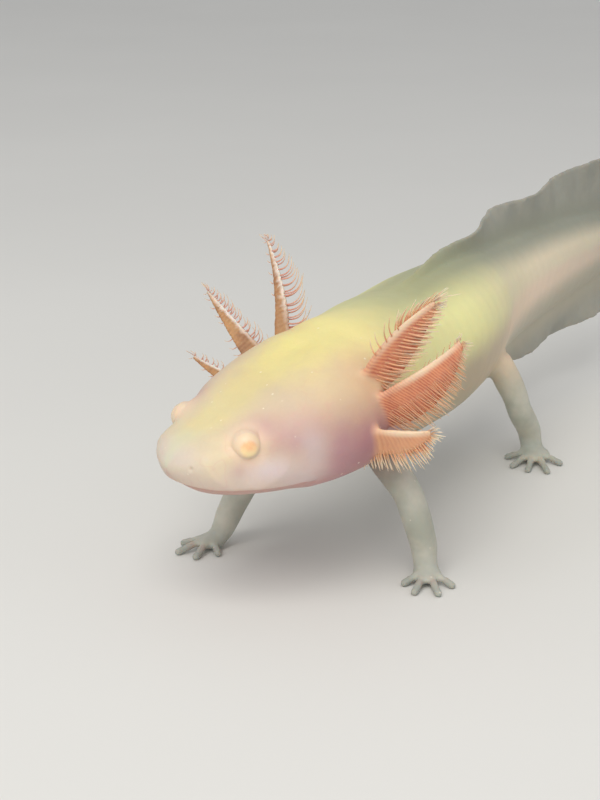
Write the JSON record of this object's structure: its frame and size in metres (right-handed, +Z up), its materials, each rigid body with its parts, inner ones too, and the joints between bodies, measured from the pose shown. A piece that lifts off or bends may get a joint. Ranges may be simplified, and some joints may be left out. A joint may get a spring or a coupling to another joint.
{
  "type": "axolotl",
  "caption": "Pale golden young axolotl, life size, standing still on its feet with the head turned aside, feathery gills spread and a long finned tail.",
  "frame": {"origin": "on the floor, under the middle of the bounding box", "axes": "+Z up, the snout toward -X and the tail toward +X, the animal's left side toward -Y"},
  "size_m": [0.1568, 0.0442, 0.0415],
  "materials": {
    "skin": "soft moist skin, golden above, pinkish at the cheeks, pale and clear at limbs and fins",
    "gill": "moist salmon red filaments on paler stalks",
    "eye": "clear wet cornea over a golden orange iris"
  },
  "bodies": {
    "root": {"head": "skin", "lower_jaw": "skin", "neck": "skin", "trunk_front": "skin", "trunk_middle": "skin", "trunk_rear": "skin", "tail_base": "skin", "tail_middle": "skin", "tail_tip": "skin", "dorsal_fin_trunk": "skin", "dorsal_fin_tail_base": "skin", "dorsal_fin_tail_middle": "skin", "dorsal_fin_tail_tip": "skin", "ventral_fin_tail_base": "skin", "ventral_fin_tail_middle": "skin", "ventral_fin_tail_tip": "skin", "upper_arm_left": "skin", "forearm_left": "skin", "hand_left": "skin", "upper_arm_right": "skin", "forearm_right": "skin", "hand_right": "skin", "thigh_left": "skin", "shin_left": "skin", "foot_left": "skin", "thigh_right": "skin", "shin_right": "skin", "foot_right": "skin", "gill_left_upper": "gill", "gill_left_middle": "gill", "gill_left_lower": "gill", "gill_right_upper": "gill", "gill_right_middle": "gill", "gill_right_lower": "gill", "eye_left": "eye", "eye_right": "eye"}
  },
  "joints": []
}
